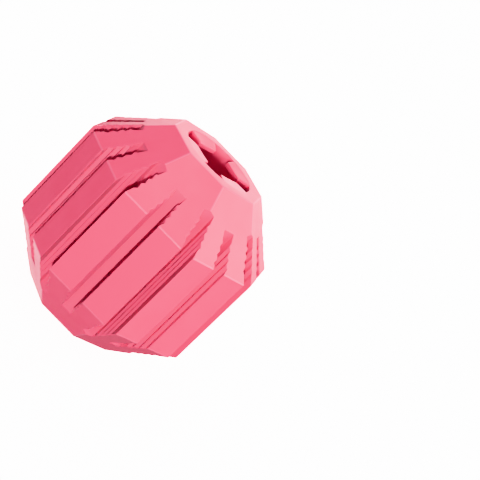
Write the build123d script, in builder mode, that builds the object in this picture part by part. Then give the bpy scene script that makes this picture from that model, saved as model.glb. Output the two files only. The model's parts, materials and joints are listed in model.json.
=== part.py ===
import os
from math import cos, radians, sin, sqrt

from build123d import *

# Overall form: an octagonal ball with tapered ends, its axis upright, standing on its closed end
length = 76.0
across_flats = 76.0
end_across_flats = 37.5
band_length = 37.5
facet_count = 8
edge_radius = 0.6
overrun = 2.0

# Toothed slots, cut along the axis at the middle and at the corner of every facet
slot_depth = 10.1
slot_floor_width = 4.4
slot_floor_height = 2.5
slot_neck_width = 3.2
slot_mouth_width = 5.3
neck_step = 0.6
tooth_count = 3
tooth_pitch = 2.15
tooth_depth = 0.8

# Hollow for the treats, and the air hole in the closed end
slot_wall = 7.9
end_wall = 9.0
hollow_corner_radius = 8.0
air_hole_diameter = 8.0

# Mouth: a round opening whose four gaps part four flaps, turned a little from the facets
mouth_diameter = 28.8
mouth_turn = 6.0
gap_width = 7.0
rim_width = 0.3
rim_drop = 0.2
flap_count = 4
flap_root_thickness = 1.9
flap_tip_thickness = 1.1
flap_length = 3.9
hinge_clearance = 0.15
side_clearance = 0.25

# Places that follow from these sizes
band_bottom = (length - band_length) / 2
band_top = band_bottom + band_length
end_run = (across_flats - end_across_flats) / 2
facet_turn = 180 / facet_count
slot_count = 2 * facet_count
slot_floor_radius = across_flats / 2 - slot_depth
first_neck_radius = slot_floor_radius + slot_floor_height + neck_step
hollow_radius = slot_floor_radius - slot_wall
gap_reach = sqrt((mouth_diameter / 2) ** 2 - (gap_width / 2) ** 2)
hinge_radius = (gap_reach + gap_width / 2) / sqrt(2)
hinge_length = (gap_reach - gap_width / 2) * sqrt(2)
bead_radius = flap_root_thickness / 2
tip_radius = flap_tip_thickness / 2
seat_radius = bead_radius + hinge_clearance
hinge_height = length - rim_drop - bead_radius
flap_turn = mouth_turn + 180 / flap_count


def slot_outline():
    """A slot seen along the axis: a flat floor, then teeth between necks that widen outward."""
    side = [
        (slot_floor_radius, slot_floor_width / 2),
        (slot_floor_radius + slot_floor_height, slot_floor_width / 2),
        (first_neck_radius, slot_neck_width / 2),
    ]
    neck_growth = (slot_mouth_width - slot_neck_width) / 2 / tooth_count
    for tooth in range(tooth_count):
        neck_radius, neck_half = side[-1]
        side.append((neck_radius + tooth_pitch / 2, neck_half + neck_growth / 2 + tooth_depth))
        side.append((neck_radius + tooth_pitch, neck_half + neck_growth))
    side.append((across_flats / 2 + slot_depth, slot_mouth_width / 2))
    return side + [(radius, -half) for radius, half in reversed(side)]


def is_ridge(edge):
    """A ridge runs from a corner of one end face down the taper: one of its ends is on that face."""
    on_end = [min(vertex.Z, length - vertex.Z) < overrun for vertex in edge.vertices()]
    return on_end.count(True) == 1


def hinge_plane(number):
    """Plane across a flap's hinge: X toward the middle of the mouth, Y up, Z along the hinge."""
    angle = radians(flap_turn + number * 360 / flap_count)
    outward = Vector(cos(angle), sin(angle), 0)
    along = Vector(-sin(angle), cos(angle), 0)
    return Plane(outward * hinge_radius + Vector(0, 0, hinge_height), x_dir=-outward, z_dir=along)


with BuildPart() as shell:
    # Octagonal prism with both ends tapered
    with BuildSketch(Plane.XY):
        RegularPolygon(across_flats / 2, facet_count, major_radius=False, rotation=facet_turn)
    extrude(amount=length)
    for end in (shell.faces().sort_by(Axis.Z)[0], shell.faces().sort_by(Axis.Z)[-1]):
        chamfer(end.edges(), length=end_run, length2=band_bottom, reference=end)

    # Toothed slots, as long as the toy, so that they run out on the tapers
    with BuildSketch(Plane.XY):
        with PolarLocations(0, slot_count):
            Polygon(*slot_outline(), align=None)
    extrude(amount=length, mode=Mode.SUBTRACT)

    # Softened edges between the facets
    rings = shell.edges().filter_by_position(Axis.Z, band_bottom, band_bottom)
    rings += shell.edges().filter_by_position(Axis.Z, band_top, band_top)
    rims = shell.edges().filter_by_position(Axis.Z, 0, 0)
    rims += shell.edges().filter_by_position(Axis.Z, length, length)
    fillet(rings + rims + shell.edges().filter_by(is_ridge), radius=edge_radius)

    # Hollow and air hole
    with BuildSketch(Plane.XZ):
        with Locations((0, end_wall)):
            Rectangle(hollow_radius, length - 2 * end_wall, align=(Align.MIN, Align.MIN))
        fillet(vertices().group_by(Axis.X)[-1], radius=hollow_corner_radius)
    revolve(axis=Axis.Z, mode=Mode.SUBTRACT)
    with BuildSketch(Plane.XY):
        Circle(air_hole_diameter / 2)
    extrude(amount=end_wall + overrun, mode=Mode.SUBTRACT)

    # Mouth: a shallow dish round it, straight lands behind the flaps and a round seat at each hinge
    with Locations((0, 0, length)):
        Cone(
            hinge_radius,
            mouth_diameter / 2 + rim_width,
            rim_drop,
            align=(Align.CENTER, Align.CENTER, Align.MAX),
            mode=Mode.SUBTRACT,
        )
    lands = ((hinge_radius, hinge_height - length), (hinge_radius + seat_radius, end_wall))
    for land_radius, depth in lands:
        with BuildSketch(Plane.XY.offset(hinge_height)):
            Circle(mouth_diameter / 2)
            Rectangle(2 * land_radius, 2 * land_radius, rotation=flap_turn, mode=Mode.INTERSECT)
        extrude(amount=-depth, mode=Mode.SUBTRACT)
    for number in range(flap_count):
        with BuildSketch(hinge_plane(number)):
            Circle(seat_radius)
        extrude(amount=hinge_length / 2, both=True, mode=Mode.SUBTRACT)

os.makedirs("parts", exist_ok=True)
shell.part.label = "shell"
export_step(shell.part, "parts/shell.step")

# Flaps: round at the root, thinner at the tip, and narrowing between the gaps
for number in range(flap_count):
    hinge = hinge_plane(number)
    root_half = hinge_length / 2 - side_clearance
    with BuildPart() as flap:
        with BuildSketch(hinge):
            Circle(bead_radius)
            with Locations((flap_length - tip_radius, 0)):
                Circle(tip_radius)
            make_hull()
        extrude(amount=root_half, both=True)
        with BuildSketch(Plane(hinge.origin, x_dir=hinge.x_dir, z_dir=Axis.Z.direction)):
            with BuildLine():
                Polyline(
                    (-bead_radius, -root_half),
                    (0, -root_half),
                    (flap_length, flap_length - root_half),
                    (flap_length, root_half - flap_length),
                    (0, root_half),
                    (-bead_radius, root_half),
                    close=True,
                )
            make_face()
        extrude(amount=flap_root_thickness, both=True, mode=Mode.INTERSECT)
    flap.part.label = f"flap_{number + 1}"
    export_step(flap.part, f"parts/flap_{number + 1}.step")
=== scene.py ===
"""Dress the faceted rubber chew toy: one soft pink moulding with four flaps, in a white studio."""
import json
from math import atan2, cos, pi, radians, sin, sqrt

import bmesh
import bpy
from mathutils import Matrix, Vector


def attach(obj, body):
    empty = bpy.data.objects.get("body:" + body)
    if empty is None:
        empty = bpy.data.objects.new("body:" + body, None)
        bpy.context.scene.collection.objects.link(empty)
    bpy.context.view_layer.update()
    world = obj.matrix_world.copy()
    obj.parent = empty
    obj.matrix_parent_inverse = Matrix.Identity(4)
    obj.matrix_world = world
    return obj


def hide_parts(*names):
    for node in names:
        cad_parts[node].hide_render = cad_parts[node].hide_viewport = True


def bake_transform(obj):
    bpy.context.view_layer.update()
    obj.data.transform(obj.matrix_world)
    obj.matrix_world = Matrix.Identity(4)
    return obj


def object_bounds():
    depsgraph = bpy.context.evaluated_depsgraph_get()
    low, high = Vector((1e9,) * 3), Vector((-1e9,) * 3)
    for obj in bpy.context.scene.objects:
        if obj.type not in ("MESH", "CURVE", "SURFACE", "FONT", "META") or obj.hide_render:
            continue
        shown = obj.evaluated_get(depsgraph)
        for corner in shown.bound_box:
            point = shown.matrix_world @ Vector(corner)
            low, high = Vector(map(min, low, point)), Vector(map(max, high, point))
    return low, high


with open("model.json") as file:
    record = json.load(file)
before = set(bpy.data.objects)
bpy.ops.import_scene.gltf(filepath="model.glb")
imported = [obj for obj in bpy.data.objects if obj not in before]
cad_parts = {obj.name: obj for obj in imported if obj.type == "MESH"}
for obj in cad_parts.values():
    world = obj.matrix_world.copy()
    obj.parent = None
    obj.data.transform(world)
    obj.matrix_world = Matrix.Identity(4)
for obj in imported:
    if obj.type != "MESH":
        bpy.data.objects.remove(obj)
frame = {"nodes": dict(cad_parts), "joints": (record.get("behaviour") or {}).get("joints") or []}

CAD_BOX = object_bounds()
MM = 0.001

# Sizes of the moulding in millimetres; the outer ones come from the frame
LENGTH = (CAD_BOX[1].z - CAD_BOX[0].z) / MM
FLAT = (CAD_BOX[1].x - CAD_BOX[0].x) / 2 / MM
END_FLAT = 18.75
BAND_LENGTH = 37.5
FACETS = 8
SLOTS = 2 * FACETS
BAND_TOP = (LENGTH + BAND_LENGTH) / 2
TAPER = (LENGTH - BAND_TOP) / (FLAT - END_FLAT)

# Toothed slots
SLOT_DEPTH = 10.1
FLOOR_WIDTH = 4.4
FLOOR_HEIGHT = 2.5
NECK_WIDTH = 3.2
MOUTH_WIDTH = 5.3
NECK_STEP = 0.6
TEETH = 3
TOOTH_PITCH = 2.15
TOOTH_DEPTH = 0.8

# Hollow and holes
HOLLOW_RADIUS = 20.0
HOLLOW_CORNER = 8.0
END_WALL = 9.0
AIR_RADIUS = 4.0
MOUTH_RADIUS = 14.4

# Flaps: tip, end of the bend and hinge as distances from the axis; step and drop below the end face
FLAP_TIP = 8.45
FLAP_HINGE = Vector(frame["joints"][0]["pos_m"]).xy.length / MM
FLAP_ROOTED = 0.5
FLAP_TIP_HALF = 4.4
FLAP_FLARE = 0.48
FLAP_ROOT_THICKNESS = 2.3
FLAP_TIP_THICKNESS = 1.8
FLAP_STEP = 0.1
FLAP_DROP = 0.6

# Rounding of the moulded edges, and how finely round forms are divided
FACET_ROUND = 0.34
SLOT_ROUND = 0.2
RIM_ROUND = 0.25
FLAP_ROUND = 0.3
FLAP_CORNER_LOSS = 2 / 3
ROUND_STEPS = 3
LATHE_STEPS = 96
CORNER_STEPS = 8
FLAP_STEPS = 12
FLAP_COLUMNS = 10
ROOT_STEPS = 6
KEY_DIGITS = 4
FLAT_ANGLE = radians(1)

# The photograph's frame and the view of the toy in it
PICTURE = 480
LENS_MM = 103.7
SENSOR_MM = 36.0
CLIP_START = 0.01
VIEW_AZIMUTH = radians(2.5)
VIEW_ELEVATION = radians(19.2)
VIEW_ROLL = radians(44.9)
VIEW_DISTANCE = 0.485
TOY_PIXEL = (145.2, 235.4)

# Rubber: colours, grain and gloss
PINK = (0.8, 0.133, 0.214, 1)
DEEP_PINK = (0.78, 0.12, 0.197, 1)
# Paler pink on the rounded facet edges: a painted highlight
PAINTED_HIGHLIGHT_PINK = (0.82, 0.19, 0.28, 1)
# Darker pink on the slot faces: painted shade in the slots
PAINTED_SHADE_PINK = (0.68, 0.13, 0.2, 1)
NOISE_MIDDLE = (0.3, 0.7)
MOTTLE_SCALE = 90
MOTTLE_DETAIL = 4
GLOSS_RANGE = (0.28, 0.36)
GRAIN_SCALE = 2400
GRAIN_DETAIL = 2
GRAIN_DEPTH = 0.03
GRAIN_STRENGTH = 0.15

# Studio: floor, and panels as (name, azimuth and elevation in degrees, distance, width, height,
# brightness, whether the rubber mirrors it)
WHITE = (1, 1, 1, 1)
FLOOR_SIZE = 8
BACKDROP_HEIGHT = 4
FLOOR_COLOUR = (0.3, 0.3, 0.3, 1)
FLOOR_GLOW = 6
WORLD_LIGHT = 0.13
PANELS = (
    ("key", 8, 7.5, 1.0, 0.03, 0.12, 1240, True),
    ("side", 90, 15, 0.9, 0.7, 0.4, 10, True),
    ("right_back", 120, 40, 0.9, 0.7, 0.5, 6.4, True),
    ("back", 177, 12, 0.9, 1.2, 0.3, 4.1, True),
    ("left_back", -148, 25, 0.9, 0.7, 0.4, 10, False),
    ("low_back", -158, -35, 0.9, 0.4, 0.3, 1.6, True),
    ("top", 0, 89, 0.9, 0.8, 0.8, 2.7, True),
    ("under", -137, -48, 0.9, 0.7, 0.7, 8, False),
)

# Kinds of faces: facets and ends, slots, and the inside with the flaps
OUTER, SLOT, INNER = range(3)


class Mould:
    """A mesh put together from points in millimetres; faces that name the same point share its vertex."""

    def __init__(self):
        self.mesh = bmesh.new()
        self.kind = self.mesh.faces.layers.int.new("kind")
        self.vertices = {}

    def vertex(self, point):
        key = tuple(round(value, KEY_DIGITS) for value in point)
        if key not in self.vertices:
            self.vertices[key] = self.mesh.verts.new(Vector(point) * MM)
        return self.vertices[key]

    def face(self, points, kind):
        self.mesh.faces.new([self.vertex(point) for point in points])[self.kind] = kind

    def weigh_edges(self, rounding):
        """Give each edge between two kinds of faces its bevel width, as a share of the widest."""
        weight = self.mesh.edges.layers.float.new("bevel_weight_edge")
        for edge in self.mesh.edges:
            kinds = tuple(sorted(face[self.kind] for face in edge.link_faces))
            if edge.calc_face_angle() > FLAT_ANGLE:
                edge[weight] = rounding.get(kinds, 0) / max(rounding.values())

    def finish(self, name, rounding=None):
        """Turn the mould into a smooth object with flat facets, and round the edges that are named."""
        bmesh.ops.recalc_face_normals(self.mesh, faces=self.mesh.faces)
        if rounding:
            self.weigh_edges(rounding)
        cast = bpy.data.meshes.new(name)
        self.mesh.to_mesh(cast)
        self.mesh.free()
        cast.shade_smooth()
        piece = bpy.data.objects.new(name, cast)
        bpy.context.collection.objects.link(piece)
        if rounding:
            bevel = piece.modifiers.new("round", "BEVEL")
            bevel.limit_method = "WEIGHT"
            bevel.width = max(rounding.values()) * MM
            bevel.segments = ROUND_STEPS
            bevel.use_clamp_overlap = False
        normals = piece.modifiers.new("normals", "WEIGHTED_NORMAL")
        normals.keep_sharp = False
        shown = piece.evaluated_get(bpy.context.evaluated_depsgraph_get())
        piece.data = bpy.data.meshes.new_from_object(shown)
        piece.modifiers.clear()
        return piece


def around(radius, angle):
    return Vector((radius * cos(angle), radius * sin(angle)))


def facet_reach(spot):
    """How far out a plan point lies, measured square to the nearest side facet."""
    return max(spot.dot(around(1, 2 * pi * facet / FACETS)) for facet in range(FACETS))


def on_taper(spot, top):
    """The point of the upper or lower surface over a plan point."""
    rise = BAND_TOP + (FLAT - facet_reach(spot)) * TAPER
    return (spot.x, spot.y, rise if top else LENGTH - rise)


def upright(left, right):
    """Corners of the upright face over two plan points, from the lower surface to the upper one."""
    lower = [on_taper(left, False), on_taper(right, False)]
    return lower + [on_taper(right, True), on_taper(left, True)]


def slot_side(corner):
    """Half of a slot's section from the floor outward, as (distance from the axis, half width)."""
    floor = FLAT - SLOT_DEPTH
    side = [(floor, FLOOR_WIDTH / 2), (floor + FLOOR_HEIGHT, FLOOR_WIDTH / 2)]
    side.append((floor + FLOOR_HEIGHT + NECK_STEP, NECK_WIDTH / 2))
    growth = (MOUTH_WIDTH - NECK_WIDTH) / 2 / TEETH
    for tooth in range(TEETH):
        radius, half = side[-1]
        side.append((radius + TOOTH_PITCH / 2, half + growth / 2 + TOOTH_DEPTH))
        side.append((radius + TOOTH_PITCH, half + growth))
    lean = pi / FACETS if corner else 0
    side.append(((FLAT - MOUTH_WIDTH / 2 * sin(lean)) / cos(lean), MOUTH_WIDTH / 2))
    return side


def slot_section(number):
    """Plan points across a slot, from one edge of its mouth over the floor to the other."""
    corner = number % 2
    angle = 2 * pi * number / SLOTS
    side = slot_side(corner)
    middle = [(side[0][0], 0)] if corner else []
    across = [(radius, -half) for radius, half in reversed(side)] + middle + side
    return [around(radius, angle) + around(half, angle + pi / 2) for radius, half in across]


def add_slots(mould, sections):
    for section in sections:
        for left, right in zip(section, section[1:]):
            mould.face(upright(left, right), SLOT)


def end_corner(number, top):
    corner = around(END_FLAT / cos(pi / FACETS), pi * (2 * number - 1) / FACETS)
    return (corner.x, corner.y, LENGTH if top else 0)


def add_facets(mould, sections):
    """The band between the slots, and both tapers with the slots running out on them."""
    for number, section in enumerate(sections):
        after = sections[(number + 1) % SLOTS]
        mould.face(upright(section[-1], after[0]), OUTER)
    for facet in range(FACETS):
        before, middle, after = (sections[(2 * facet + step) % SLOTS] for step in (-1, 0, 1))
        outline = before[len(before) // 2:] + middle + after[: len(after) // 2 + 1]
        for top in (True, False):
            ends = [end_corner(facet + 1, top), end_corner(facet, top)]
            mould.face([on_taper(spot, top) for spot in outline] + ends, OUTER)


def lathe_point(radius, height, step):
    spot = around(radius, 2 * pi * step / LATHE_STEPS - pi / FACETS)
    return (spot.x, spot.y, height)


def add_ends(mould):
    """Both end faces, each with its round hole."""
    share = LATHE_STEPS // FACETS
    for top, radius in ((True, MOUTH_RADIUS), (False, AIR_RADIUS)):
        height = LENGTH if top else 0
        for facet in range(FACETS):
            steps = range((facet + 1) * share, facet * share - 1, -1)
            hole = [lathe_point(radius, height, step % LATHE_STEPS) for step in steps]
            mould.face([end_corner(facet, top), end_corner(facet + 1, top)] + hole, OUTER)


def hollow_profile():
    """The inside from the mouth down to the air hole, as (radius, height)."""
    core, middle = HOLLOW_RADIUS - HOLLOW_CORNER, LENGTH / 2
    straight = middle - END_WALL - HOLLOW_CORNER
    neck = sqrt(HOLLOW_CORNER**2 - (MOUTH_RADIUS - core) ** 2)
    first = atan2(neck, MOUTH_RADIUS - core)
    upper = [first * (CORNER_STEPS - step) / CORNER_STEPS for step in range(CORNER_STEPS + 1)]
    lower = [-pi / 2 * step / CORNER_STEPS for step in range(CORNER_STEPS + 1)]
    profile = [(MOUTH_RADIUS, LENGTH)]
    for angles, height in ((upper, middle + straight), (lower, middle - straight)):
        for angle in angles:
            profile.append((core + HOLLOW_CORNER * cos(angle), height + HOLLOW_CORNER * sin(angle)))
    return profile + [(AIR_RADIUS, END_WALL), (AIR_RADIUS, 0)]


def add_hollow(mould):
    profile = hollow_profile()
    for ring, next_ring in zip(profile, profile[1:]):
        for step in range(LATHE_STEPS):
            after = (step + 1) % LATHE_STEPS
            patch = [lathe_point(*ring, step), lathe_point(*ring, after)]
            patch += [lathe_point(*next_ring, after), lathe_point(*next_ring, step)]
            mould.face(patch, INNER)


def outer_gaps(point):
    """How far a point lies inside each outer plane: side facets, both tapers and both ends."""
    spot, height = point.xy / MM, point.z / MM
    sides = [FLAT - spot.dot(around(1, 2 * pi * facet / FACETS)) for facet in range(FACETS)]
    slant = sqrt(1 + TAPER**2)
    upper = [(BAND_TOP + side * TAPER - height) / slant for side in sides]
    lower = [(BAND_TOP + side * TAPER - LENGTH + height) / slant for side in sides]
    return sides + upper + lower + [height, LENGTH - height]


def mark_faces(piece):
    """Mark the faces on edges between outer planes for a painted highlight, and the slot faces for painted
    shade.
    """
    # Faces on the rounded edges get a painted highlight; slot faces get painted shade
    edge_highlight = [float(sorted(outer_gaps(face.center))[1] < FACET_ROUND) for face in piece.data.polygons]
    slot_shade = [float(face.value == SLOT) for face in piece.data.attributes["kind"].data]
    for name, values in (("edge_highlight", edge_highlight), ("slot_shade", slot_shade)):
        piece.data.attributes.new(name, "FLOAT", "FACE").data.foreach_set("value", values)


def make_body():
    """The whole moulding without its flaps: facets, toothed slots, mouth, hollow and air hole."""
    mould = Mould()
    sections = [slot_section(number) for number in range(SLOTS)]
    add_slots(mould, sections)
    add_facets(mould, sections)
    add_ends(mould)
    add_hollow(mould)
    rounding = {
        (OUTER, OUTER): FACET_ROUND,
        (OUTER, SLOT): SLOT_ROUND,
        (SLOT, SLOT): SLOT_ROUND,
        (OUTER, INNER): RIM_ROUND,
    }
    body = mould.finish("body_skin", rounding)
    mark_faces(body)
    return body


def flap_half_width(out):
    """Half a flap's width at a distance from the mouth's middle, flaring from the tip to the hinge."""
    return FLAP_TIP_HALF + FLAP_FLARE * (min(out, FLAP_HINGE) - FLAP_TIP)


def flap_outline(half, thick, inset):
    """A flap's section, as (place across, depth below the top): a flat bar with round corners."""
    radius = FLAP_ROUND - inset * FLAP_CORNER_LOSS
    flat = half - inset - radius
    top = [(flat * (2 * step / FLAP_COLUMNS - 1), inset) for step in range(FLAP_COLUMNS + 1)]
    turns = [pi / 2 * step / ROUND_STEPS for step in range(1, ROUND_STEPS + 1)]
    corner = [(flat + radius * sin(turn), inset + radius - radius * cos(turn)) for turn in turns]
    upper = [(-across, depth) for across, depth in reversed(corner)] + top + corner
    return upper + [(across, thick - depth) for across, depth in reversed(upper)]


def flap_rows():
    """Rows of a flap from its rounded tip to its root, as (distance out, inset, share of the rim's bow)."""
    turns = [pi / 2 * step / ROUND_STEPS for step in range(ROUND_STEPS)]
    rows = [(FLAP_TIP + FLAP_ROUND * (1 - cos(turn)), FLAP_ROUND * (1 - sin(turn)), 0) for turn in turns]
    run = FLAP_HINGE - FLAP_TIP - FLAP_ROUND
    rows += [(FLAP_TIP + FLAP_ROUND + run * step / FLAP_STEPS, 0, 0) for step in range(FLAP_STEPS + 1)]
    return rows + [(FLAP_HINGE, 0, step / ROOT_STEPS) for step in range(1, ROOT_STEPS + 1)]


def make_flap(name, angle):
    """One flap: a plate that slopes gently from the round rim and thins to a straight rounded tip."""
    mould = Mould()
    slope = (FLAP_DROP - FLAP_STEP) / (MOUTH_RADIUS - FLAP_TIP)
    thinning = (FLAP_ROOT_THICKNESS - FLAP_TIP_THICKNESS) / (FLAP_HINGE - FLAP_TIP)
    loops = []
    for out, inset, bow in flap_rows():
        thick = FLAP_TIP_THICKNESS + thinning * (out - FLAP_TIP)
        loop = []
        for across, depth in flap_outline(flap_half_width(out), thick, inset):
            reach = out + bow * (sqrt((MOUTH_RADIUS + FLAP_ROOTED) ** 2 - across**2) - out)
            spot = around(reach, angle) + around(across, angle + pi / 2)
            top = LENGTH - FLAP_STEP - slope * (MOUTH_RADIUS - min(spot.length, MOUTH_RADIUS))
            loop.append((spot.x, spot.y, top - depth))
        loops.append(loop)
    for first, second in zip(loops, loops[1:]):
        for step in range(len(first)):
            mould.face([first[step - 1], first[step], second[step], second[step - 1]], INNER)
    for loop in (loops[0], loops[-1]):
        for step in range(len(loop) // 2 - 1):
            mould.face([loop[step], loop[step + 1], loop[-2 - step], loop[-1 - step]], INNER)
    return mould.finish(name)


def add_flaps(material):
    """The four flaps, each built from its root in the rim at its hinge, with its CAD part hidden."""
    for joint in frame["joints"]:
        place = Vector(joint["pos_m"])
        direction = place.xy.normalized()
        flap = make_flap(joint["child"] + "_skin", atan2(direction.y, direction.x))
        flap.data.materials.append(material)
        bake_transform(flap)
        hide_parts(joint["child"])


def toy_centre():
    low, high = (Vector(corner) for corner in CAD_BOX)
    return (low + high) / 2


def add_camera():
    """Camera at the photograph's angle: the toy stands at the left, its axis leaning to the upper right."""
    level = cos(VIEW_ELEVATION)
    out = Vector((sin(VIEW_AZIMUTH) * level, -cos(VIEW_AZIMUTH) * level, sin(VIEW_ELEVATION)))
    right = Vector((cos(VIEW_AZIMUTH), sin(VIEW_AZIMUTH), 0))
    up = out.cross(right)
    rolled_right = cos(VIEW_ROLL) * right + sin(VIEW_ROLL) * up
    rolled_up = cos(VIEW_ROLL) * up - sin(VIEW_ROLL) * right
    facing_toy = Matrix((rolled_right, rolled_up, out)).transposed()
    focal = LENS_MM / SENSOR_MM * PICTURE
    across = (TOY_PIXEL[0] - PICTURE / 2) / focal
    upward = (PICTURE / 2 - TOY_PIXEL[1]) / focal
    ray = Vector((across, upward, -1)).normalized()
    turned = facing_toy @ ray.rotation_difference(Vector((0, 0, -1))).to_matrix()
    camera = bpy.data.cameras.new("camera")
    camera.lens = LENS_MM
    camera.sensor_width = SENSOR_MM
    camera.clip_start = CLIP_START
    rig = bpy.data.objects.new("camera", camera)
    rig.matrix_world = Matrix.Translation(toy_centre() + VIEW_DISTANCE * out) @ turned.to_4x4()
    bpy.context.collection.objects.link(rig)
    bpy.context.scene.camera = rig


def noise(tree, scale, detail):
    """Noise in the object's own space, so that it stays with the surface."""
    place = tree.nodes.new("ShaderNodeTexCoord")
    texture = tree.nodes.new("ShaderNodeTexNoise")
    texture.inputs["Scale"].default_value = scale
    texture.inputs["Detail"].default_value = detail
    tree.links.new(place.outputs["Object"], texture.inputs["Vector"])
    return texture.outputs["Fac"]


def spread(tree, value, low, high):
    """Stretch the middle of a noise over a range of values."""
    remap = tree.nodes.new("ShaderNodeMapRange")
    remap.inputs["From Min"].default_value = NOISE_MIDDLE[0]
    remap.inputs["From Max"].default_value = NOISE_MIDDLE[1]
    remap.inputs["To Min"].default_value = low
    remap.inputs["To Max"].default_value = high
    tree.links.new(value, remap.inputs["Value"])
    return remap.outputs["Result"]


def tint(tree, tone, mark, other):
    """Change a colour to another one on the faces that carry a mark."""
    marked = tree.nodes.new("ShaderNodeAttribute")
    marked.attribute_name = mark
    change = tree.nodes.new("ShaderNodeMix")
    change.data_type = "RGBA"
    change.inputs["B"].default_value = other
    tree.links.new(marked.outputs["Fac"], change.inputs["Factor"])
    tree.links.new(tone, change.inputs["A"])
    return change.outputs["Result"]


def rubber(name):
    """Satin moulded rubber: mottled pink, painted highlights on edges, painted shade in slots, uneven
    gloss, a fine moulded grain.
    """
    material = bpy.data.materials.new(name)
    material.use_nodes = True
    tree = material.node_tree
    shader = tree.nodes["Principled BSDF"]
    mottle = noise(tree, MOTTLE_SCALE, MOTTLE_DETAIL)
    colour = tree.nodes.new("ShaderNodeMix")
    colour.data_type = "RGBA"
    colour.inputs["A"].default_value = PINK
    colour.inputs["B"].default_value = DEEP_PINK
    tree.links.new(spread(tree, mottle, 0, 1), colour.inputs["Factor"])
    tone = colour.outputs["Result"]
    # Paler pink painted as a highlight on the rounded edges, darker pink painted as shade in the slots
    for mark, other in (("slot_shade", PAINTED_SHADE_PINK), ("edge_highlight", PAINTED_HIGHLIGHT_PINK)):
        tone = tint(tree, tone, mark, other)
    tree.links.new(tone, shader.inputs["Base Color"])
    tree.links.new(spread(tree, mottle, *GLOSS_RANGE), shader.inputs["Roughness"])
    grain = tree.nodes.new("ShaderNodeBump")
    grain.inputs["Strength"].default_value = GRAIN_STRENGTH
    grain.inputs["Distance"].default_value = GRAIN_DEPTH * MM
    tree.links.new(noise(tree, GRAIN_SCALE, GRAIN_DETAIL), grain.inputs["Height"])
    tree.links.new(grain.outputs["Normal"], shader.inputs["Normal"])
    return material


def add_floor():
    """A wide white sheet under the toy, turned up at its far edges as a backdrop for low views."""
    bpy.ops.mesh.primitive_plane_add(size=FLOOR_SIZE)
    floor = bpy.context.object
    floor.name = "floor"
    sheet = bmesh.new()
    sheet.from_mesh(floor.data)
    turned_up = bmesh.ops.extrude_edge_only(sheet, edges=sheet.edges)["geom"]
    for corner in (part for part in turned_up if isinstance(part, bmesh.types.BMVert)):
        corner.co.z = BACKDROP_HEIGHT
    sheet.to_mesh(floor.data)
    sheet.free()
    paper = bpy.data.materials.new("floor")
    paper.use_nodes = True
    shader = paper.node_tree.nodes["Principled BSDF"]
    shader.inputs["Base Color"].default_value = FLOOR_COLOUR
    shader.inputs["Roughness"].default_value = 1
    shader.inputs["Specular IOR Level"].default_value = 0
    shader.inputs["Emission Color"].default_value = WHITE
    shader.inputs["Emission Strength"].default_value = FLOOR_GLOW
    floor.visible_diffuse = False
    floor.visible_glossy = False
    floor.visible_shadow = False
    floor.data.materials.append(paper)


def add_lights():
    """An even glow from all sides, and the studio panels round the toy."""
    world = bpy.data.worlds.new("studio")
    world.use_nodes = True
    glow = world.node_tree.nodes["Background"]
    glow.inputs["Color"].default_value = WHITE
    glow.inputs["Strength"].default_value = WORLD_LIGHT
    bpy.context.scene.world = world
    for name, azimuth, elevation, distance, wide, tall, brightness, mirrored in PANELS:
        lamp = bpy.data.lights.new(name, "AREA")
        lamp.shape = "RECTANGLE"
        lamp.size = wide
        lamp.size_y = tall
        lamp.energy = pi * wide * tall * brightness
        level = cos(radians(elevation))
        east, south = sin(radians(azimuth)) * level, cos(radians(azimuth)) * level
        toward = Vector((east, -south, sin(radians(elevation))))
        panel = bpy.data.objects.new(name, lamp)
        panel.location = toy_centre() + toward * distance
        panel.rotation_euler = toward.to_track_quat("Z", "Y").to_euler()
        panel.visible_camera = False
        panel.visible_glossy = mirrored
        bpy.context.collection.objects.link(panel)


bpy.context.scene.view_settings.view_transform = "Khronos PBR Neutral"
add_camera()
add_lights()
add_floor()
pink = rubber("pink_rubber")
for name in frame["nodes"]:
    node = bpy.data.objects[name]
    node.data.materials.clear()
    node.data.materials.append(pink)
body = make_body()
body.data.materials.append(pink)
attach(body, "toy")
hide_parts("shell")
add_flaps(pink)
